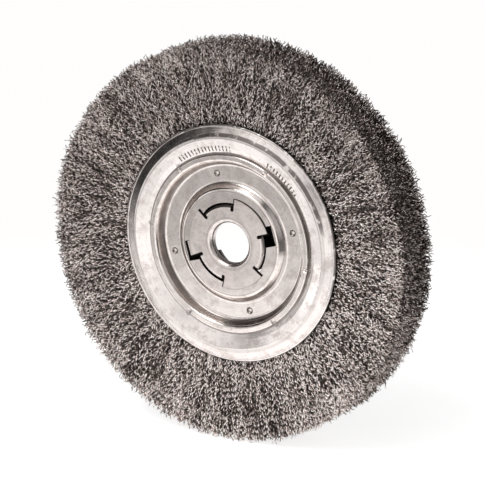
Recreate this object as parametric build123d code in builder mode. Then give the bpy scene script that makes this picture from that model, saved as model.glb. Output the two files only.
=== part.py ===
from build123d import *
import math
import os

# A crimped-wire wheel brush for a bench grinder: four ring brushes stacked on a drum, gripped between
# two pressed face plates that two hub discs are curled over, with a stamped adapter in the arbor hole.
# Millimetres. The wheel turns about Y, its front faces -Y, and the origin is the wheel's centre.
# Sections are drawn as (radius, y) and revolved about Y.

# ---- driving dimensions ----
tip_radius = 122.0            # wire tips
tip_half_width = 17.0         # half the face width at the tips
section_count = 4             # ring brushes side by side

hole_radius = 25.4            # two-inch arbor hole
keyway_width = 12.7
keyway_radius = 31.75
keyway_angle = 17.0           # direction of the keyway pair
hub_half_width = 12.7         # boss faces, one inch apart

disc_sheet = 1.6              # hub disc thickness
boss_radius = 33.9
boss_foot_radius = 37.3
land_height = 8.8             # recessed land between boss and wall
wall_foot_radius = 48.8
wall_top_radius = 51.5
curl_height = 14.8            # top of the curled lip
curl_radius = 55.6            # outer edge of the curled lip
curl_edge_round = 0.96
disc_bends = [1.8, 3.2, 2.8, 2.0]
groove_radius = 32.5          # ring mark on the boss face
groove_width = 0.5
groove_depth = 0.3
dimple_radius = 43.1          # circle that the four dimples lie on
dimple_angle = 15.7
dimple_count = 4
dimple_ball = 2.5
dimple_depth = 1.2
stake_angles = (62, 130, 175, 239, 306, 351)   # crimps that lock the curl to the plate
stake_tool_radius = 1.9       # round punch laid along the radius
stake_depth = 0.95
stake_length = 6.0

plate_sheet = 1.5             # face plate thickness
plate_radius = 73.9
plate_edge_height = 12.7      # sheet just inside the hemmed rim
flange_height = 15.9          # highest stretch of the face plate
plate_inner_radius = 53.9     # edge of the plate, held under the curl
valley_radius = 56.6
flange_start_radius = 59.5
flange_start_height = 14.2
flange_end_radius = 66.2
plate_bends = [1.4, 6.0, 3.0]
rim_bead = 1.0                # round bead that hems the plate's rim
rim_rise = 0.25               # how far the bead stands above the sheet

spacer_wall = 1.2             # tube between the two bosses
drum_radius = 59.6            # drum that the ring brushes sit on
drum_wall = 3.0
channel_sheet = 0.8
channel_width = 6.2
channel_depth = 6.8
anchor_wire = 1.5             # radius of the anchor ring's round section
pack_half_width = 12.6        # the four channels together
pinch_half_width = 10.8       # wires where the plate rims squeeze them

adapter_sheet = 1.0
bore_radius = 12.7            # one-inch bore
mouth_radius = 15.6
collar_depth = 5.0
lobe_radius = 28.5
tab_angles = (112, 232, 352)
tab_span = 54.0
tab_bend_radius = 2.2
tab_depth = 14.5
tab_clearance = 1.2
tab_root_radius = 16.6        # where the tabs' sheet starts, inside the lobes
relief_width = 2.2
relief_start_radius = 21.6
relief_depth = 0.75
dart_radius = 0.9             # small dart pressed into the middle of each bend
dart_depth = 0.45
tongue_start_radius = 17.6
tongue_radius = 29.1          # flat tongue over the covered keyway
tongue_width = 12.2
foot_angle = 24.0             # the tab beside the open keyway widens to a foot under its lobe
foot_span = 13.6
foot_height = 12.3

# ---- worked-out values ----
curl_underside = curl_height - disc_sheet
pinch_radius = plate_radius - rim_bead
spacer_half_length = hub_half_width - disc_sheet
spacer_outer_radius = keyway_radius + spacer_wall
drum_half_length = curl_underside - plate_sheet
adapter_top = hub_half_width + adapter_sheet
tab_radius = hole_radius - tab_clearance
channel_base_radius = drum_radius
channel_lip_radius = channel_base_radius + channel_depth
anchor_ring_radius = channel_base_radius + channel_sheet + anchor_wire
fold_radius = anchor_ring_radius + anchor_wire       # where the wires leave the anchor ring

os.makedirs("parts", exist_ok=True)


def front(points):
    """Heights above the mid-plane, as (radius, y) points on the front side."""
    return [(radius, -height) for radius, height in points]


def save(builder, name):
    builder.part.label = name
    export_step(builder.part, f"parts/{name}.step")


def tangent_plane(angle, radius, height):
    """A plane facing forwards at a polar position, with its x along the radius."""
    place = Vector(radius, -height, 0).rotate(Axis.Y, -angle)
    return Plane(origin=place, x_dir=Vector(1, 0, 0).rotate(Axis.Y, -angle), z_dir=(0, -1, 0))


# ---- hub discs: boss, land, wall and curled lip, pressed from one sheet ----
disc_line = front([
    (hole_radius, hub_half_width),
    (boss_radius, hub_half_width),
    (boss_foot_radius, land_height),
    (wall_foot_radius, land_height),
    (wall_top_radius, curl_height),
    (curl_radius, curl_height),
])

with BuildPart() as front_hub_disc:
    with BuildSketch():
        with BuildLine():
            skin = FilletPolyline(*disc_line, radius=disc_bends)
            offset(skin, amount=disc_sheet, side=Side.LEFT)
        make_face()
    revolve(axis=Axis.Y)
    circles = front_hub_disc.edges().filter_by(GeomType.CIRCLE)
    curl_edges = circles.sort_by(SortBy.RADIUS)[-2:]
    fillet(curl_edges.sort_by(Axis.Y)[0], curl_edge_round)
    for turn in (0, 180):
        with BuildSketch(tangent_plane(keyway_angle + turn, keyway_radius, hub_half_width)):
            Rectangle(keyway_radius - bore_radius, keyway_width, align=(Align.MAX, Align.CENTER))
        extrude(amount=-2 * disc_sheet, mode=Mode.SUBTRACT)
    with BuildSketch(Plane.XZ.offset(hub_half_width)):
        Circle(groove_radius + groove_width / 2)
        Circle(groove_radius - groove_width / 2, mode=Mode.SUBTRACT)
    extrude(amount=-groove_depth, mode=Mode.SUBTRACT)
    for index in range(dimple_count):
        angle = dimple_angle + 360 / dimple_count * index
        with Locations(tangent_plane(angle, dimple_radius, land_height + dimple_ball - dimple_depth)):
            Sphere(dimple_ball, mode=Mode.SUBTRACT)
    for angle in stake_angles:
        with Locations(tangent_plane(angle, curl_radius, curl_height + stake_tool_radius - stake_depth)):
            Cylinder(stake_tool_radius, stake_length, rotation=(0, 90, 0), mode=Mode.SUBTRACT)
save(front_hub_disc, "front_hub_disc")

with BuildPart() as rear_hub_disc:
    mirror(front_hub_disc.part, about=Plane.XZ)
save(rear_hub_disc, "rear_hub_disc")

# ---- face plates: flat inner margin under the curl, raised flange, sloping hemmed rim ----
plate_line = front([
    (plate_inner_radius, curl_underside),
    (valley_radius, curl_underside),
    (flange_start_radius, flange_start_height),
    (flange_end_radius, flange_height),
    (pinch_radius, plate_edge_height),
])

with BuildPart() as front_face_plate:
    with BuildSketch():
        with BuildLine():
            skin = FilletPolyline(*plate_line, radius=plate_bends)
            offset(skin, amount=plate_sheet, side=Side.LEFT)
        make_face()
        with Locations((pinch_radius, rim_bead - rim_rise - plate_edge_height)):
            Circle(rim_bead)
    revolve(axis=Axis.Y)
save(front_face_plate, "front_face_plate")

with BuildPart() as rear_face_plate:
    mirror(front_face_plate.part, about=Plane.XZ)
save(rear_face_plate, "rear_face_plate")

# ---- inner tubes: the spacer carries the clamping load, the drum carries the ring brushes ----
with BuildPart() as hub_spacer:
    with BuildSketch(Plane.XZ):
        Circle(spacer_outer_radius)
        Circle(keyway_radius, mode=Mode.SUBTRACT)
    extrude(amount=spacer_half_length, both=True)
save(hub_spacer, "hub_spacer")

with BuildPart() as core_drum:
    with BuildSketch(Plane.XZ):
        Circle(drum_radius)
        Circle(drum_radius - drum_wall, mode=Mode.SUBTRACT)
    extrude(amount=drum_half_length, both=True)
save(core_drum, "core_drum")

# ---- ring brushes: a channel, the anchor ring inside it, and the wires folded round that ring ----
section_pitch = 2 * pack_half_width / section_count


def boundary(index, half_width):
    """The y of the boundary line between sections where the pack is this wide."""
    return half_width * (2 * index / section_count - 1)


for number in range(1, section_count + 1):
    middle = -pack_half_width + section_pitch * (number - 0.5)

    with BuildPart() as channel_ring:
        with BuildSketch():
            with Locations((channel_base_radius, middle)):
                Rectangle(channel_depth, channel_width, align=(Align.MIN, Align.CENTER))
            with Locations((channel_base_radius + channel_sheet, middle)):
                Rectangle(channel_depth, channel_width - 2 * channel_sheet,
                          align=(Align.MIN, Align.CENTER), mode=Mode.SUBTRACT)
        revolve(axis=Axis.Y)
    save(channel_ring, f"channel_ring_{number}")

    with BuildPart() as anchor_ring:
        with BuildSketch():
            with Locations((anchor_ring_radius, middle)):
                Circle(anchor_wire)
        revolve(axis=Axis.Y)
    save(anchor_ring, f"anchor_ring_{number}")

    throat = channel_width / 2 - channel_sheet
    near, far = number - 1, number
    with BuildPart() as wire_fill:
        with BuildSketch():
            with BuildLine():
                Polyline(
                    (fold_radius, middle - throat),
                    (channel_lip_radius, middle - throat),
                    (channel_lip_radius, boundary(near, pack_half_width)),
                    (pinch_radius, boundary(near, pinch_half_width)),
                    (tip_radius, boundary(near, tip_half_width)),
                    (tip_radius, boundary(far, tip_half_width)),
                    (pinch_radius, boundary(far, pinch_half_width)),
                    (channel_lip_radius, boundary(far, pack_half_width)),
                    (channel_lip_radius, middle + throat),
                    (fold_radius, middle + throat),
                    close=True,
                )
            make_face()
        revolve(axis=Axis.Y)
    save(wire_fill, f"wire_fill_{number}")

# ---- arbor adapter: three lobes on the boss face, three tabs bent into the hole, a drawn collar ----
lobe_line = front([
    (lobe_radius, adapter_top),
    (bore_radius, adapter_top),
    (bore_radius, adapter_top - collar_depth),
])
tab_line = front([
    (tab_root_radius, adapter_top),
    (tab_radius, adapter_top),
    (tab_radius, adapter_top - tab_depth),
])
diagonal = math.sqrt(0.5)
bend_middle = tab_bend_radius * diagonal
dart_reach = bend_middle + (dart_radius - dart_depth) * diagonal


def wedge(angle, span):
    """Corners of a wedge from the axis that covers this span of angle in the front view."""
    far_corners = [Vector(2 * lobe_radius, 0).rotate(Axis.Z, angle + side * span / 2) for side in (-1, 1)]
    return [Vector(0, 0), *far_corners]


with BuildPart() as bent_tabs:
    with BuildSketch():
        with BuildLine():
            bend = FilletPolyline(*tab_line, radius=tab_bend_radius)
            offset(bend, amount=adapter_sheet, side=Side.LEFT)
        make_face()
    revolve(axis=Axis.Y)
    with BuildSketch(Plane.XZ.offset(adapter_top)):
        for angle in tab_angles:
            with BuildLine():
                Polyline(*wedge(angle, tab_span), close=True)
            make_face()
    tab_zone = extrude(amount=-2 * tab_depth, mode=Mode.PRIVATE)
    with BuildSketch(Plane.XZ.offset(foot_height)):
        with BuildLine():
            Polyline(*wedge(foot_angle, foot_span), close=True)
        make_face()
    foot_zone = extrude(amount=-2 * tab_depth, mode=Mode.PRIVATE)
    add(tab_zone + foot_zone, mode=Mode.INTERSECT)

with BuildPart() as arbor_adapter:
    with BuildSketch():
        with BuildLine():
            skin = FilletPolyline(*lobe_line, radius=mouth_radius - bore_radius)
            offset(skin, amount=adapter_sheet, side=Side.RIGHT)
        make_face()
    revolve(axis=Axis.Y)
    with BuildSketch(tangent_plane(keyway_angle + 180, tongue_start_radius, adapter_top)):
        Rectangle(tongue_radius - tongue_start_radius, tongue_width, align=(Align.MIN, Align.CENTER))
    extrude(amount=-adapter_sheet)
    with BuildSketch(Plane.XZ.offset(adapter_top)):
        for angle in tab_angles:
            with BuildLine():
                Polyline(*wedge(angle, tab_span), close=True)
            make_face()
        Circle(tab_radius - tab_bend_radius, mode=Mode.SUBTRACT)
    extrude(amount=-adapter_sheet, mode=Mode.SUBTRACT)
    add(bent_tabs.part)
    for angle in tab_angles:
        dart_place = tangent_plane(angle, tab_radius - tab_bend_radius + dart_reach,
                                   adapter_top - tab_bend_radius + dart_reach)
        with Locations(dart_place):
            Sphere(dart_radius, mode=Mode.SUBTRACT)
        for side in (-1, 1):
            slot_angle = angle + side * tab_span / 2
            with BuildSketch(tangent_plane(slot_angle, relief_start_radius, adapter_top)):
                Rectangle(lobe_radius, relief_width, align=(Align.MIN, Align.CENTER))
                Circle(relief_width / 2)
            extrude(amount=-relief_depth, mode=Mode.SUBTRACT)
save(arbor_adapter, "arbor_adapter")
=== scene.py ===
import bpy
import math
import numpy as np
from mathutils import Matrix, Vector


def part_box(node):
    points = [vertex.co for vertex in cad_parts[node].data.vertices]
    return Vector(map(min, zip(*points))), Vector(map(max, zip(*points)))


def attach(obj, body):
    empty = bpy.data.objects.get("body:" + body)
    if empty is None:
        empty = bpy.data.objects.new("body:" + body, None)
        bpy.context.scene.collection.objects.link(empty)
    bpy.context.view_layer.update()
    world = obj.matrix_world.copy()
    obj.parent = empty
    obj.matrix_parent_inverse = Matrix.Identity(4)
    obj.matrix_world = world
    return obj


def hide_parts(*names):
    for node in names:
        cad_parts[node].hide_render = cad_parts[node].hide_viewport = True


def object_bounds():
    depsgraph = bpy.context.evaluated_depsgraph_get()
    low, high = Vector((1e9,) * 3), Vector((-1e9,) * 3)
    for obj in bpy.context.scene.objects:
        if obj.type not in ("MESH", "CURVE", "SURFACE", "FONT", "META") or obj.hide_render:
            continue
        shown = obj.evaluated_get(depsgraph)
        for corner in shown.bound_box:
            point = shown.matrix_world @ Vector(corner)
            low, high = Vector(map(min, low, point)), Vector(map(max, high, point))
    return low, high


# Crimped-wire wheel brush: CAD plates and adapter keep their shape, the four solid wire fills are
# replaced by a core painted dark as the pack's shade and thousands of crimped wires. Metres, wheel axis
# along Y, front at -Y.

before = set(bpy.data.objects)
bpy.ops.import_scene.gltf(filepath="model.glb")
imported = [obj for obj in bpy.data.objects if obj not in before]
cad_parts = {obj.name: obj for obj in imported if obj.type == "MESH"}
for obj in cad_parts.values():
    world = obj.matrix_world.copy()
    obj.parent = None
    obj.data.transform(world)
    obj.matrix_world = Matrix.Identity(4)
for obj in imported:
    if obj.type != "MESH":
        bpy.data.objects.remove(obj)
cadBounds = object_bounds()
print("frame loaded")


def meshFromArrays(name, points, faceCorners, faceSizes, tone=None):
    # points (n, 3); faceCorners is every face's corner list end to end; faceSizes the corners per face
    mesh = bpy.data.meshes.new(name)
    mesh.vertices.add(len(points))
    mesh.vertices.foreach_set("co", np.ascontiguousarray(points, np.float32).ravel())
    mesh.loops.add(len(faceCorners))
    mesh.loops.foreach_set("vertex_index", np.ascontiguousarray(faceCorners, np.int32))
    mesh.polygons.add(len(faceSizes))
    starts = np.concatenate([[0], np.cumsum(faceSizes)[:-1]])
    mesh.polygons.foreach_set("loop_start", starts.astype(np.int32))
    mesh.polygons.foreach_set("use_smooth", np.ones(len(faceSizes), bool))
    if tone is not None:
        mesh.attributes.new("tone", "FLOAT", "POINT").data.foreach_set("value", tone.astype(np.float32))
    mesh.update(calc_edges=True)
    mesh.validate()
    piece = bpy.data.objects.new(name, mesh)
    bpy.context.scene.collection.objects.link(piece)
    return piece


def tubesAlong(name, lines, radius, sides, tone):
    # lines (count, steps, 3): each is a centre line. Each point gets a ring of corners at
    # line + radius * (cos a * n + sin a * b), n and b square to the line; both ends are closed.
    count, steps, _ = lines.shape
    ahead = np.gradient(lines, axis=1)
    ahead /= np.linalg.norm(ahead, axis=2, keepdims=True)
    acrossN = np.cross(ahead, [0.0, 1.0, 0.0])
    acrossN /= np.linalg.norm(acrossN, axis=2, keepdims=True)
    acrossB = np.cross(ahead, acrossN)
    turn = np.arange(sides) * 2 * math.pi / sides
    hoop = np.cos(turn)[:, None] * acrossN[:, :, None] + np.sin(turn)[:, None] * acrossB[:, :, None]
    points = lines[:, :, None] + radius[:, None, None, None] * hoop
    index = np.arange(count * steps * sides).reshape(count, steps, sides)
    near, far = index[:, :-1], index[:, 1:]
    walls = np.stack([near, np.roll(near, -1, 2), np.roll(far, -1, 2), far], -1).reshape(-1)
    starts, ends = index[:, 0, ::-1].reshape(-1), index[:, -1].reshape(-1)
    sizes = np.concatenate([np.full(len(walls) // 4, 4), np.full(2 * count, sides)])
    return meshFromArrays(name, points.reshape(-1, 3), np.concatenate([walls, starts, ends]), sizes,
                          np.repeat(tone.reshape(-1), sides))


fillLow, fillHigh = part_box("wire_fill_1")   # the foremost of the four fills
tipRadius = fillHigh[0]
tipHalfWidth = -fillLow[1]
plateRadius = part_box("front_face_plate")[1][0]

wirePack = {
    "seed": 41,
    "pinchHalfWidth": 0.0108,     # half the pack's width where the plate rims squeeze it
    "wireRadius": 0.00028,
    "wireSides": 3,
    "radiusSpread": (0.85, 1.15),
    "pitchSpread": (0.8, 1.25),
    "crimpPitch": 0.0038,
    "crimpSwing": (0.00028, 0.00070),   # sideways
    "crimpLift": (0.00045, 0.00090),    # in and out of the pack
    "lean": 0.34,                 # spread of the wires' slope across the radius
    "facePieces": 3,              # meshes that one face's wires are divided into
    "wiresPerPiece": 2640,
    "faceSteps": 13,
    "faceLength": 0.0125,
    "faceStart": 0.0035,          # how far below the plate's rim the innermost wires start
    "startOver": 0.0020,          # spread of the starts that are clamped there
    "belowStart": 0.7,            # share of a length drawn below that start, before clamping
    "pastTips": 0.0040,           # starts drawn past the tips, which become tips themselves
    "faceDepth": 0.0011,
    "faceDip": 0.0012,            # how far a wire's two ends dive into the pack
    "faceTone": (0.1, 1.0),
    "faceDive": (0.03, 2.0),      # painted shade: light left where the crimp dives deepest, and how fast it fades
    "faceShade": 0.0025,          # painted shade: depth at which a face wire has lost most of its light
    "tipPieces": 3,
    "tipsPerPiece": 5150,
    "tipSteps": 7,
    "tipLength": 0.0085,
    "tipScatter": 0.0012,
    "tipCrimp": 0.6,              # share of the crimp that is left at the tread
    "tipShort": 0.0011,
    "tipScatterShare": 0.7,
    "tipLean": 0.22,
    "tipSplay": 0.0007,
    "tipInset": 0.0004,
    "tipTone": (0.0, 1.0),
    "tipDive": (0.15, 1.5),
    "tipShade": 0.0026,           # painted shade: depth at which a tip has lost most of its light
    "tipShadeShare": 0.4,
    "coreInset": 0.0017,
    "coreBelow": 0.006,           # how far the core runs in under the plates
    "coreShort": 1.6,             # how far the core stops short of the tips, in insets
    "coreSteps": 12,
    "coreTurns": 180,
}


def packHalfWidth(radius):
    # straight line from the pinch at the plate's rim to the half width at the tips
    share = (radius - plateRadius) / (tipRadius - plateRadius)
    pinch = wirePack["pinchHalfWidth"]
    return pinch + (tipHalfWidth - pinch) * np.clip(share, 0, 1)


def crimpOffsets(distance, rng, count):
    # two sine waves of one pitch and unlike phase: side = swing sin(wave + a), lift = rise sin(wave + b);
    # top is 1 where the wire stands highest and 0 where it dives deepest
    pitch = wirePack["crimpPitch"] * rng.uniform(*wirePack["pitchSpread"], (count, 1))
    wave = 2 * math.pi * distance / pitch + rng.uniform(0, 2 * math.pi, (count, 1))
    lag = rng.uniform(0, 2 * math.pi, (count, 1))
    swing = rng.uniform(*wirePack["crimpSwing"], (count, 1))
    rise = rng.uniform(*wirePack["crimpLift"], (count, 1))
    return swing * np.sin(wave + lag), rise * np.sin(wave), 0.5 + 0.5 * np.sin(wave)


def diveShade(top, least, power):
    # painted shade: 1 at the top of a crimp and the least light at its bottom
    return least + (1 - least) * top ** power


def polarToPoints(radius, angle, y):
    return np.stack([radius * np.cos(angle), y, radius * np.sin(angle)], -1)


def faceWires(name, side, rng):
    # radius runs out from a random start, angle = start + (drift + crimp) / radius, and y follows the
    # pack's face less a random depth, with both ends dipping in unless they are tips
    count, steps = wirePack["wiresPerPiece"], wirePack["faceSteps"]
    along = np.linspace(0, 1, steps)[None, :]
    length = wirePack["faceLength"]
    innerRadius = plateRadius - wirePack["faceStart"]
    outerRadius = tipRadius + rng.normal(0, wirePack["tipScatter"], (count, 1))
    lastStart = outerRadius - length
    lowest, highest = innerRadius - wirePack["belowStart"] * length, tipRadius + wirePack["pastTips"]
    start = np.sqrt(rng.uniform(lowest ** 2, highest ** 2, (count, 1)))
    start = np.maximum(start, innerRadius + rng.uniform(0, wirePack["startOver"], (count, 1)))
    isTip = start > lastStart
    start = np.minimum(start, lastStart)
    radius = start + length * along
    sideways, lift, top = crimpOffsets(length * along, rng, count)
    drift = rng.normal(0, wirePack["lean"], (count, 1)) * length * (along - 0.5)
    angle = rng.uniform(0, 2 * math.pi, (count, 1)) + (drift + sideways) / radius
    depth = np.abs(rng.normal(0, wirePack["faceDepth"], (count, 1)))
    dip = wirePack["faceDip"] * (2 * along - 1) ** 4
    dip = np.where(isTip & (along > 0.5), 0, dip)
    splay = np.where(isTip, rng.normal(0, wirePack["tipSplay"], (count, 1)), 0) * along ** 2
    y = packHalfWidth(radius) - depth - dip + lift + splay
    lines = polarToPoints(radius, angle, side * y)
    thickness = wirePack["wireRadius"] * rng.uniform(*wirePack["radiusSpread"], count)
    # painted shade: random tone per wire, darker the deeper the wire lies and where its crimp dips
    tone = rng.uniform(*wirePack["faceTone"], (count, 1)) * np.exp(-depth / wirePack["faceShade"])
    tone = tone * diveShade(top, *wirePack["faceDive"])
    return tubesAlong(name, lines, thickness, wirePack["wireSides"], tone)


def tipWires(name, rng):
    # outer ends spread over the whole tread: each leans a little and stops near the tip radius
    count, steps = wirePack["tipsPerPiece"], wirePack["tipSteps"]
    along = np.linspace(0, 1, steps)[None, :]
    length = wirePack["tipLength"]
    short = np.abs(rng.normal(0, wirePack["tipShort"], (count, 1)))
    scatter = rng.normal(0, wirePack["tipScatter"], (count, 1)) * wirePack["tipScatterShare"]
    radius = tipRadius + scatter - short - length * (1 - along)
    sideways, lift, top = crimpOffsets(length * along, rng, count)
    sideways, lift = sideways * wirePack["tipCrimp"], lift * wirePack["tipCrimp"]
    lean = rng.normal(0, wirePack["tipLean"], (count, 1)) * length * along ** 2
    angle = rng.uniform(0, 2 * math.pi, (count, 1)) + (sideways + lean) / radius
    bend = rng.normal(0, wirePack["tipSplay"], (count, 1)) * along ** 2
    y = rng.uniform(-1, 1, (count, 1)) * (tipHalfWidth - wirePack["tipInset"]) + lift + bend
    lines = polarToPoints(radius, angle, y)
    thickness = wirePack["wireRadius"] * rng.uniform(*wirePack["radiusSpread"], count)
    # painted shade: random tone per tip, darker the deeper the tip is buried and where its crimp dips
    buried = short + length * (1 - along) * wirePack["tipShadeShare"]
    tone = rng.uniform(*wirePack["tipTone"], (count, 1)) * np.exp(-buried / wirePack["tipShade"])
    tone = tone * diveShade(top, *wirePack["tipDive"])
    return tubesAlong(name, lines, thickness, wirePack["wireSides"], tone)


def packCore():
    # closed ring: a rectangle-like section (radius, y) carried round the axis
    inset = wirePack["coreInset"]
    inner, outer = plateRadius - wirePack["coreBelow"], tipRadius - wirePack["coreShort"] * inset
    radii = np.linspace(inner, outer, wirePack["coreSteps"])
    halfWidths = packHalfWidth(radii) - inset
    profile = np.concatenate([
        np.stack([radii, -halfWidths], -1),
        np.stack([radii[::-1], halfWidths[::-1]], -1),
    ])
    turns, corners = wirePack["coreTurns"], len(profile)
    angle = np.linspace(0, 2 * math.pi, turns, endpoint=False)[:, None]
    y = np.broadcast_to(profile[None, :, 1], (turns, corners))
    points = polarToPoints(profile[None, :, 0], angle, y)
    index = np.arange(turns * corners).reshape(turns, corners)
    ahead = np.roll(index, -1, 0)
    faces = np.stack([index, ahead, np.roll(ahead, -1, 1), np.roll(index, -1, 1)], -1).reshape(-1)
    return meshFromArrays("wirePackCore", points.reshape(-1, 3), faces, np.full(len(faces) // 4, 4))


wirePieces = []
rng = np.random.default_rng(wirePack["seed"])
for number in range(wirePack["facePieces"]):
    wirePieces.append(faceWires(f"frontWires{number + 1}", -1, rng))
    wirePieces.append(faceWires(f"rearWires{number + 1}", 1, rng))
for number in range(wirePack["tipPieces"]):
    wirePieces.append(tipWires(f"tipWires{number + 1}", rng))
core = packCore()
for piece in wirePieces + [core]:
    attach(piece, "wheel")
    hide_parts(*(f"wire_fill_{number}" for number in range(1, 5)))
print("wires made:", sum(len(piece.data.polygons) for piece in wirePieces), "faces")


class Signal:
    # a node socket that adds Math nodes when it is used in arithmetic

    def __init__(self, graph, socket):
        self.graph = graph
        self.socket = socket

    def math(self, operation, *others):
        inputs = {0: self}
        inputs.update({place + 1: other for place, other in enumerate(others)})
        return self.graph.node("ShaderNodeMath", {"operation": operation}, inputs)

    def __add__(self, other):
        return self.math("ADD", other)

    def __mul__(self, other):
        return self.math("MULTIPLY", other)

    def __sub__(self, other):
        return self.math("SUBTRACT", other)

    def __truediv__(self, other):
        return self.math("DIVIDE", other)

    def __pow__(self, other):
        return self.math("POWER", other)

    def __rsub__(self, other):
        return self.graph.node("ShaderNodeMath", {"operation": "SUBTRACT"}, {0: other, 1: self})

    __radd__ = __add__
    __rmul__ = __mul__


class Graph:
    # the nodes of one material or world

    def __init__(self, tree):
        self.tree = tree
        self.tree.nodes.clear()

    def node(self, kind, settings=None, inputs=None, output=0):
        made = self.tree.nodes.new(kind)
        for key, value in (settings or {}).items():
            if key == "stops":
                self.setStops(made.color_ramp, value)
            else:
                setattr(made, key, value)
        for key, value in (inputs or {}).items():
            if isinstance(value, Signal):
                self.tree.links.new(value.socket, made.inputs[key])
            else:
                made.inputs[key].default_value = value
        return Signal(self, made.outputs[output]) if made.outputs else made

    def setStops(self, ramp, stops):
        while len(ramp.elements) < len(stops):
            ramp.elements.new(0.5)
        for element, (position, colour) in zip(ramp.elements, stops):
            element.position = position
            element.color = (*colour, 1)

    def mixColours(self, factor, first, second):
        # sockets 6 and 7 are the colour pair of the Mix node, 2 its colour result
        first, second = (value if isinstance(value, Signal) else (*value, 1) for value in (first, second))
        return self.node("ShaderNodeMix", {"data_type": "RGBA"}, {0: factor, 6: first, 7: second}, 2)

    def smooth(self, value, low, high):
        settings = {"interpolation_type": "SMOOTHSTEP"}
        return self.node("ShaderNodeMapRange", settings, {"Value": value, "From Min": low, "From Max": high})

    def noise(self, scale, vector=None, detail=3.0, roughness=0.55, dimensions="3D", w=None):
        inputs = {"Scale": scale, "Detail": detail, "Roughness": roughness}
        if vector is not None:
            inputs["Vector"] = vector
        if w is not None:
            inputs["W"] = w
        return self.node("ShaderNodeTexNoise", {"noise_dimensions": dimensions}, inputs)


def wheelCoordinates(graph):
    # object position in millimetres, radius from the axis, angle in degrees from +X towards +Z, and
    # height above the mid-plane on either side
    place = graph.node("ShaderNodeTexCoord", output="Object")
    scaled = graph.node("ShaderNodeVectorMath", {"operation": "SCALE"}, {0: place, "Scale": 1000.0})
    x, y, z = (graph.node("ShaderNodeSeparateXYZ", None, {0: scaled}, axis) for axis in range(3))
    radius = (x * x + z * z) ** 0.5
    angle = z.math("ARCTAN2", x) * (180 / math.pi)
    return {"place": scaled, "x": x, "y": y, "z": z, "radius": radius, "angle": angle,
            "height": y.math("ABSOLUTE")}


def ring(graph, value, centre, halfWidth, soft):
    # 1 where the value is within halfWidth of the centre, falling to 0 over the soft distance
    away = (value - centre).math("ABSOLUTE")
    return 1 - graph.smooth(away, halfWidth, halfWidth + soft)


def stretch(graph, value, low, high, soft):
    # 1 where the value is between low and high, falling to 0 over the soft distance outside them
    return ring(graph, value, (low + high) / 2, (high - low) / 2, soft)


def newMaterial(name):
    material = bpy.data.materials.new(name)
    material.use_nodes = True
    return material, Graph(material.node_tree)


def finishMaterial(graph, inputs):
    shader = graph.node("ShaderNodeBsdfPrincipled", None, inputs)
    graph.node("ShaderNodeOutputMaterial", None, {"Surface": shader})


wireFinishAndShade = {
    # the ramp's dark end takes the painted shade of buried and dipping wires
    "stops": [(0.02, (0.012, 0.008, 0.007)), (0.13, (0.16, 0.124, 0.108)), (0.24, (0.78, 0.65, 0.60)),
              (0.40, (1.0, 0.94, 0.91))],
    "metal": 0.85,
    "roughness": 0.25,
    "cloudScale": 0.035,          # noise scales are per millimetre
    "speckScale": 1.3,
}


def wireMaterial():
    material, graph = newMaterial("crimpedSteelWire")
    at = wheelCoordinates(graph)
    # the wire attribute holds random tone times painted shade
    tone = graph.node("ShaderNodeAttribute", {"attribute_name": "tone"}, None, "Fac")
    cloud = graph.noise(wireFinishAndShade["cloudScale"], at["place"], detail=2.0)
    speck = graph.noise(wireFinishAndShade["speckScale"], at["place"], detail=2.0)
    shade = tone + (cloud - 0.5) * 0.25 + (speck - 0.5) * 0.45 + 0.04
    colour = graph.node("ShaderNodeValToRGB", {"stops": wireFinishAndShade["stops"]}, {0: shade})
    finishMaterial(graph, {"Base Color": colour, "Metallic": wireFinishAndShade["metal"],
                           "Roughness": speck * 0.2 + (wireFinishAndShade["roughness"] - 0.1)})
    return material


coreDashesAndShade = {
    # near-black to dim stops: painted shade of the wires deep in the pack
    "stops": [(0.44, (0.008, 0.006, 0.005)), (0.54, (0.06, 0.047, 0.041)), (0.66, (0.45, 0.38, 0.35))],
    "dashesRound": 190,           # how fine the dashes are round the axis, along y and along the radius
    "dashesAcross": 1.7,
    "dashesOut": 0.42,
    "dashesWaver": 3,             # how far the dashes wander along the radius
    "metal": 0.5,
    "roughness": 0.5,
    "bump": 0.0006,
}


def coreMaterial():
    # deeper wires in painted shade: short dark radial dashes, fine round the axis and longer along the
    # radius
    material, graph = newMaterial("packShadow")
    at = wheelCoordinates(graph)
    waver = graph.noise(0.5, at["place"], detail=1.0)
    fine = coreDashesAndShade["dashesRound"]
    direction = graph.node("ShaderNodeCombineXYZ", None, {
        0: at["x"] / at["radius"] * fine, 1: at["y"] * coreDashesAndShade["dashesAcross"],
        2: at["z"] / at["radius"] * fine})
    outwards = at["radius"] * coreDashesAndShade["dashesOut"] + waver * coreDashesAndShade["dashesWaver"]
    dash = graph.noise(1.0, direction, detail=2.0, dimensions="4D", w=outwards)
    colour = graph.node("ShaderNodeValToRGB", {"stops": coreDashesAndShade["stops"]}, {0: dash})
    bump = graph.node("ShaderNodeBump", None,
                      {"Strength": 0.8, "Distance": coreDashesAndShade["bump"], "Height": dash})
    finishMaterial(graph, {"Base Color": colour, "Metallic": coreDashesAndShade["metal"],
                           "Roughness": coreDashesAndShade["roughness"], "Normal": bump})
    return material


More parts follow.
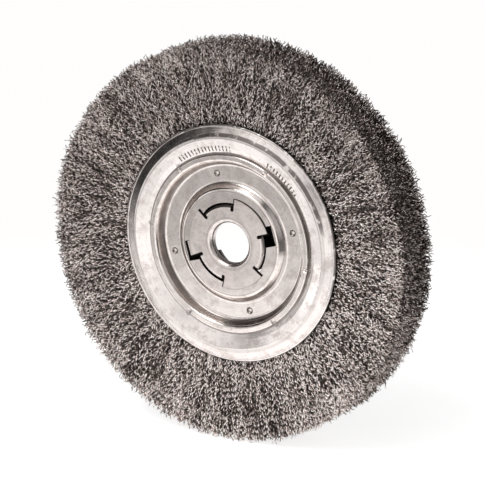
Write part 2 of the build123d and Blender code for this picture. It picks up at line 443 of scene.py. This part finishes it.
plating = {
    "plate": {"tint": (0.84, 0.785, 0.76), "roughness": 0.13},
    "disc": {"tint": (0.82, 0.755, 0.72), "roughness": 0.15},
    "adapter": {"tint": (0.79, 0.72, 0.69), "roughness": 0.25},
    # dark tint: painted shade on the pieces inside the hub
    "inner": {"tint": (0.12, 0.11, 0.10), "roughness": 0.55},
    "shades": (0.70, 1.16),       # the tint's darkest and palest clouds
    "grimeAndShade": (0.09, 0.075, 0.068),
    "smudge": (0.50, 0.42, 0.39),
    "score": (0.24, 0.21, 0.20),
    "shadow": (0.012, 0.010, 0.009),
    "noise": {                    # scales per millimetre
        "cloud": 0.045, "smear": 0.16, "dent": 0.075, "grit": 1.1, "lines": 3.0,
        "scratchRound": 9, "scratchAcross": 0.3, "scratchOut": 1.6,
    },
    "marks": {                    # noise levels where each begins and is full, and its strength
        "smudge": (0.46, 0.64, 0.50), "score": (0.62, 0.78, 0.35), "grimeAndShade": (0.56, 0.70, 0.30),
    },
    "waves": {"lines": 0.12, "smear": 0.35, "scratch": 0.2, "grimeAndShade": -0.3, "dent": 2.0},
    "dull": {"cloud": 0.25, "smear": 0.25, "lines": 0.08, "grimeAndShade": 0.2, "inside": 0.4},
    "bump": 0.00025,
    "creases": {                  # painted shade lines in the creases: radius and half width in millimetres, strength
        "plate": [(56.0, 0.35, 0.75), (66.9, 0.7, 0.22), (71.7, 0.2, 0.15)],
        "disc": [(49.5, 0.9, 0.75), (37.0, 0.5, 0.4), (55.9, 0.3, 0.6)],
        "adapter": [(16.0, 0.4, 0.3), (28.4, 0.15, 0.4)],
        "inner": [],
    },
    "ticks": {                    # radii in millimetres, angles in degrees, count in a whole turn
        "radii": (57.8, 60.8), "angles": (38.0, 126.0), "gap": (65.0, 89.0), "soft": 0.5,
        "count": 150, "stroke": (0.1, 0.6), "wear": (0.33, 0.50), "wearScale": 0.5, "strength": 0.95,
    },
    "shadeBands": [                   # painted shade bands on the front plate
        {"radii": (66.9, 68.5), "angles": (20.0, 112.0), "strength": 0.85},
        {"radii": (73.3, 73.9), "angles": (-13.0, 158.0), "strength": 0.8},
    ],
    "shadeBandEdge": {"out": 0.9, "round": 12.0, "wander": 2.0, "patch": (0.30, 0.48), "patchScale": 0.22},
    "dimples": {"radius": 43.1, "angle": 15.7, "reach": (1.5, 0.3, 0.7), "strength": 0.85},
    "stakes": {"radius": 55.8, "angles": (62, 130, 175, 239, 306, 351), "reach": (1.3, 0.3, 0.6),
               "strength": 0.55},
}


def tickMarks(graph, at):
    # plain stamped ticks on the front plate: radial strokes at an even pitch in two rows
    ticks = plating["ticks"]
    row = stretch(graph, at["angle"], *ticks["angles"], ticks["soft"])
    gap = stretch(graph, at["angle"], *ticks["gap"], ticks["soft"])
    band = stretch(graph, at["radius"], *ticks["radii"], ticks["soft"])
    stroke = (at["angle"] * math.radians(ticks["count"])).math("SINE")
    wear = graph.smooth(graph.noise(ticks["wearScale"], at["place"], detail=2.0), *ticks["wear"])
    front = at["y"].math("LESS_THAN", 0.0)
    return graph.smooth(stroke, *ticks["stroke"]) * row * (1 - gap) * band * wear * front * ticks["strength"]


def paintedShadeBands(graph, at, cloud):
    # patchy painted shade in the shoulder and at the rim of the front plate, over part of the turn
    edge = plating["shadeBandEdge"]
    patch = graph.smooth(graph.noise(edge["patchScale"], at["place"], detail=3.0), *edge["patch"])
    wandering = at["radius"] + (cloud - 0.5) * edge["wander"]
    bandShade = patch * 0.0
    for shadeBand in plating["shadeBands"]:
        row = stretch(graph, at["angle"], *shadeBand["angles"], edge["round"])
        band = stretch(graph, wandering, *shadeBand["radii"], edge["out"])
        bandShade = bandShade.math("MAXIMUM", row * band * shadeBand["strength"])
    return bandShade * patch * at["y"].math("LESS_THAN", 0.0)


def dimpleShadeRings(graph, at):
    # painted shade round the four dimples: distance = length of (radius - r0, r0 / 2 * sin 2(angle -
    # angle0))
    dimples = plating["dimples"]
    sideways = ((at["angle"] - dimples["angle"]) * math.radians(2)).math("SINE") * (dimples["radius"] / 2)
    outward = at["radius"] - dimples["radius"]
    distance = (sideways * sideways + outward * outward) ** 0.5
    return ring(graph, distance, *dimples["reach"]) * dimples["strength"]


def stakeShadeRings(graph, at):
    # painted shade rings round the six crimps on the curl's edge: distance in the (x, z) plane to each of
    # them
    stakes = plating["stakes"]
    stakeShade = at["x"] * 0.0
    for angle in stakes["angles"]:
        across = at["x"] - stakes["radius"] * math.cos(math.radians(angle))
        up = at["z"] - stakes["radius"] * math.sin(math.radians(angle))
        distance = (across * across + up * up) ** 0.5
        stakeShade = stakeShade.math("MAXIMUM", ring(graph, distance, *stakes["reach"]))
    return stakeShade * stakes["strength"]


def platedSteel(name, kind, shadeMask):
    # bright plating: turned lines and short scratches round the axis, cloudy smudges and grit grime, painted
    # shade in the creases, round the dimples and stakes and in bands on the front plate, and painted shade
    # where the given mask says that the surface faces the closed inside
    material, graph = newMaterial(name)
    at = wheelCoordinates(graph)
    tint, roughness = plating[kind]["tint"], plating[kind]["roughness"]
    scale = plating["noise"]
    cloud = graph.noise(scale["cloud"], at["place"], detail=4.0)
    smear = graph.noise(scale["smear"], at["place"], detail=6.0, roughness=0.68)
    dent = graph.noise(scale["dent"], at["place"], detail=1.0)
    grit = graph.noise(scale["grit"], at["place"], detail=4.0, roughness=0.7)
    lines = graph.noise(scale["lines"], dimensions="1D", w=at["radius"], detail=5.0, roughness=0.8)
    fine = scale["scratchRound"]
    direction = graph.node("ShaderNodeCombineXYZ", None, {
        0: at["x"] / at["radius"] * fine, 1: at["y"] * scale["scratchAcross"],
        2: at["z"] / at["radius"] * fine})
    outwards = at["radius"] * scale["scratchOut"]
    scratch = graph.noise(1.0, direction, detail=3.0, dimensions="4D", w=outwards)
    deep, pale = (tuple(min(1.0, channel * share) for channel in tint) for share in plating["shades"])
    stops = [(0.30, deep), (0.47, tint), (0.62, tint), (0.78, pale)]
    clean = graph.node("ShaderNodeValToRGB", {"stops": stops}, {0: cloud * 0.55 + smear * 0.45})

    def mark(value, sort):
        begins, full, strength = plating["marks"][sort]
        return graph.smooth(value, begins, full) * strength

    smudged = graph.mixColours(mark(smear, "smudge"), clean, plating["smudge"])
    scored = graph.mixColours(mark(scratch, "score"), smudged, plating["score"])
    # grit grime, with painted shade added to it below
    grimeAndShade = mark(grit * 0.5 + smear * 0.5, "grimeAndShade")
    # painted shade: dark lines at the creases' radii
    for centre, halfWidth, strength in plating["creases"][kind]:
        line = ring(graph, at["radius"], centre, halfWidth, 0.6) * strength
        grimeAndShade = grimeAndShade.math("MAXIMUM", line * (0.5 + cloud * 0.9))
    if kind == "plate":
        grimeAndShade = grimeAndShade.math("MAXIMUM", tickMarks(graph, at))
        grimeAndShade = grimeAndShade.math("MAXIMUM", paintedShadeBands(graph, at, cloud))
    if kind == "disc":
        grimeAndShade = grimeAndShade.math("MAXIMUM", dimpleShadeRings(graph, at) * (0.4 + smear))
    if kind in ("disc", "plate"):
        grimeAndShade = grimeAndShade.math("MAXIMUM", stakeShadeRings(graph, at) * (0.4 + smear))
    dirtyAndShaded = graph.mixColours(grimeAndShade, scored, plating["grimeAndShade"])
    # painted shade: dark where the mask says the surface faces the closed inside
    inside = shadeMask(graph, at)
    colour = graph.mixColours(inside, dirtyAndShaded, plating["shadow"])
    dull, waves = plating["dull"], plating["waves"]
    rough = (cloud - 0.5) * dull["cloud"] + (smear - 0.5) * dull["smear"] + (lines - 0.5) * dull["lines"]
    rough = rough + roughness + grimeAndShade * dull["grimeAndShade"] + inside * dull["inside"]
    height = lines * waves["lines"] + smear * waves["smear"] + scratch * waves["scratch"]
    height = height + grimeAndShade * waves["grimeAndShade"] + dent * waves["dent"]
    bump = graph.node("ShaderNodeBump", None,
                      {"Strength": 0.6, "Distance": plating["bump"], "Height": height})
    finishMaterial(graph, {"Base Color": colour, "Metallic": 1.0, "Roughness": rough, "Normal": bump})
    return material


paintedShadeParts = {                   # millimetres; each pair is where the painted shade starts and ends
    "boss": (12.0, 12.6),         # heights below the plates' and the discs' front sheet
    "hubInner": (25.5, 25.8),     # radii: the wall of the round hole itself stays bright
    "hubOuter": (32.5, 33.5),
    "collar": (18.5, 20.0),
    "tabs": (11.5, 12.6),
    "bend": (13.5, 13.66),
    "bendUpper": (6.0, 14.0),     # z over which the upper tab's bend gets more painted shade than the others
    "bendShare": (0.3, 0.62),
    "relief": (12.95, 0.04, 0.04),   # height of the notches' floor, half width and soft edge
    "innerShare": 0.9,
}


def plateShadeMask(graph, at):
    # painted shade where the plate lies below the boss height
    return 1 - graph.smooth(at["height"], *paintedShadeParts["boss"])


def discShadeMask(graph, at):
    # painted shade on the hub's inside, seen only through the keyways
    outer = 1 - graph.smooth(at["radius"], *paintedShadeParts["hubOuter"])
    inward = graph.smooth(at["radius"], *paintedShadeParts["hubInner"]) * outer
    return inward * (1 - graph.smooth(at["height"], *paintedShadeParts["boss"]))


def adapterShadeMask(graph, at):
    # painted shade on the tabs below the boss face and their bends, outside the collar, and in the relief
    # notches
    outside = graph.smooth(at["radius"], *paintedShadeParts["collar"])
    deep = 1 - graph.smooth(at["height"], *paintedShadeParts["tabs"])
    least, extra = paintedShadeParts["bendShare"]
    share = graph.smooth(at["z"], *paintedShadeParts["bendUpper"]) * extra + least
    bend = (1 - graph.smooth(at["height"], *paintedShadeParts["bend"])) * share
    relief = ring(graph, at["height"], *paintedShadeParts["relief"])
    return outside * deep.math("MAXIMUM", bend).math("MAXIMUM", relief)


def innerShadeMask(graph, at):
    # the same painted shade all over the inner pieces
    return at["height"] * 0.0 + paintedShadeParts["innerShare"]


def assign(names, material):
    for name in names:
        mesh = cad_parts[name].data
        mesh.materials.clear()
        mesh.materials.append(material)


wireSteel = wireMaterial()
for piece in wirePieces:
    piece.data.materials.append(wireSteel)
core.data.materials.append(coreMaterial())
assign(["front_face_plate", "rear_face_plate"], platedSteel("facePlateSteel", "plate", plateShadeMask))
assign(["front_hub_disc", "rear_hub_disc"], platedSteel("hubDiscSteel", "disc", discShadeMask))
assign(["arbor_adapter"], platedSteel("adapterSteel", "adapter", adapterShadeMask))
innerShadedSteel = platedSteel("innerShadedSteel", "inner", innerShadeMask)
assign(["hub_spacer", "core_drum"], innerShadedSteel)
assign([f"{kind}_ring_{number}" for kind in ("channel", "anchor") for number in range(1, 5)], innerShadedSteel)
print("materials set")


studio = {
    "floorRadius": 0.62,
    "floorInner": 0.0005,
    "floorGrid": (24, 96),        # rings and turns
    "floorDrop": 0.0014,          # how far the longest wire tips reach below the CAD box
    "floorTint": (0.9, 0.9, 0.9, 1),
    "fade": (200.0, 500.0),       # millimetres from the middle where the floor melts into the white
    "floorGlow": 0.76,
    "base": 0.16,
    "lightTint": (1, 0.985, 0.98, 1),
    # light from the white table: everywhere below the horizon, and more in one direction
    "table": {"even": 0.16, "extra": 0.14, "towards": (-35, -40), "width": 70, "edge": (0.04, 0.14)},
    "spotEdge": (1.2, 0.7),       # where a spot starts and is full, as shares of its half width
    "glows": [                    # degrees right of straight ahead and degrees up, half width, strength
        ((2, 15), 39, 0.86),
        ((-10, 60), 24, 0.8),
        ((78, 28), 26, 0.3),
        ((-85, -18), 30, 0.2),
        ((-52, -2), 14, 1.0),
    ],
    "shades": [                   # degrees right and up, half width, share kept
        ((36, 0), 10, 0.08),
        ((17, 15), 8, 0.35),
        ((42, 24), 7, 0.15),
        ((-52, 42), 15, 0.12),
        ((-84, 20), 34, 0.10),
        ((70, -10), 10, 0.35),
        ((-30, -45), 6, 0.55),
    ],
}


def makeFloor():
    # a disc of rings: radius and angle on a grid, all at the wheel's lowest point
    rings, turns = studio["floorGrid"]
    radius = np.linspace(studio["floorInner"], studio["floorRadius"], rings)[:, None]
    angle = np.linspace(0, 2 * math.pi, turns, endpoint=False)[None, :]
    height = cadBounds[0][2] - studio["floorDrop"]
    points = np.stack(np.broadcast_arrays(radius * np.cos(angle), radius * np.sin(angle), height), -1)
    index = np.arange(rings * turns).reshape(rings, turns)
    walls = np.stack([index[:-1], index[1:], np.roll(index[1:], -1, 1), np.roll(index[:-1], -1, 1)], -1)
    sizes = np.full(walls[..., 0].size, 4)
    floor = meshFromArrays("floor", points.reshape(-1, 3), walls.reshape(-1), sizes)
    material, graph = newMaterial("paleFloor")
    place = graph.node("ShaderNodeTexCoord", output="Object")
    distance = graph.node("ShaderNodeVectorMath", {"operation": "LENGTH"}, {0: place}, "Value") * 1000.0
    surface = graph.node("ShaderNodeBsdfPrincipled", None, {
        "Base Color": studio["floorTint"], "Roughness": 1.0, "Specular IOR Level": 0.0,
        "Emission Color": (1, 1, 1, 1), "Emission Strength": studio["floorGlow"]})
    clear = graph.node("ShaderNodeBsdfTransparent")
    faded = graph.node("ShaderNodeMixShader", None,
                       {0: graph.smooth(distance, *studio["fade"]), 1: surface, 2: clear})
    graph.node("ShaderNodeOutputMaterial", None, {"Surface": faded})
    floor.data.materials.append(material)


def towards(right, rise):
    # unit vector from degrees right of straight ahead (-Y) and degrees up
    right, rise = math.radians(right), math.radians(rise)
    level = math.cos(rise)
    return Vector((math.sin(right) * level, -math.cos(right) * level, math.sin(rise)))


def makeWorld():
    # light = base + table + soft round glows, times soft round shades; the camera sees plain white
    world = bpy.data.worlds.new("studio")
    world.use_nodes = True
    bpy.context.scene.world = world
    graph = Graph(world.node_tree)
    ray = graph.node("ShaderNodeTexCoord", output="Generated")
    rise = graph.node("ShaderNodeSeparateXYZ", None, {0: ray}, 2)

    def spot(direction, width):
        settings = {"operation": "DOT_PRODUCT"}
        facing = graph.node("ShaderNodeVectorMath", settings, {0: ray, 1: towards(*direction)}, "Value")
        start, full = (math.cos(math.radians(width * share)) for share in studio["spotEdge"])
        return graph.smooth(facing, start, full)

    table = studio["table"]
    lit = spot(table["towards"], table["width"]) * table["extra"] + table["even"]
    light = graph.smooth(rise * -1, *table["edge"]) * lit + studio["base"]
    for direction, width, strength in studio["glows"]:
        light = light + spot(direction, width) * strength
    for direction, width, kept in studio["shades"]:
        light = light * (1 - spot(direction, width) * (1 - kept))
    isCamera = graph.node("ShaderNodeLightPath", output="Is Camera Ray")
    strength = light * (1 - isCamera) + isCamera
    background = graph.node("ShaderNodeBackground", None,
                            {"Color": studio["lightTint"], "Strength": strength})
    graph.node("ShaderNodeOutputWorld", None, {"Surface": background})


softbox = {"place": (-0.24, -0.90, 1.34), "size": 0.8, "power": 8}


def addSoftbox():
    # a round area light above the wheel's front, aimed at its centre
    light = bpy.data.lights.new("topSoftbox", "AREA")
    light.shape = "DISK"
    light.size = softbox["size"]
    light.energy = softbox["power"]
    lamp = bpy.data.objects.new("topSoftbox", light)
    lamp.location = softbox["place"]
    lamp.rotation_euler = (-Vector(softbox["place"])).to_track_quat("-Z", "Y").to_euler()
    bpy.context.scene.collection.objects.link(lamp)


viewpoint = {
    "azimuth": 31.0, "elevation": 16.1, "roll": 0.16,
    "distance": 3.05, "lens": 373.5, "sensor": 36.0, "aimRight": 0.0010, "aimUp": -0.0024,
}


def makeCamera():
    # stands back from a point near the wheel's centre, looking square at it
    azimuth, roll = math.radians(viewpoint["azimuth"]), math.radians(viewpoint["roll"])
    back = towards(viewpoint["azimuth"], viewpoint["elevation"])
    right = Vector((math.cos(azimuth), math.sin(azimuth), 0))
    up = back.cross(right)
    tiltedRight = math.cos(roll) * right + math.sin(roll) * up
    tiltedUp = back.cross(tiltedRight)
    camera = bpy.data.objects.new("camera", bpy.data.cameras.new("camera"))
    camera.data.lens = viewpoint["lens"]
    camera.data.sensor_width = viewpoint["sensor"]
    camera.data.clip_end = 50.0
    axes = Matrix((tiltedRight, tiltedUp, back)).transposed().to_4x4()
    aim = tiltedRight * viewpoint["aimRight"] + tiltedUp * viewpoint["aimUp"]
    camera.matrix_world = Matrix.Translation(aim + back * viewpoint["distance"]) @ axes
    bpy.context.scene.collection.objects.link(camera)
    bpy.context.scene.camera = camera


makeFloor()
makeWorld()
addSoftbox()
makeCamera()
bpy.context.scene.view_settings.view_transform = "Standard"
print("stage ready")
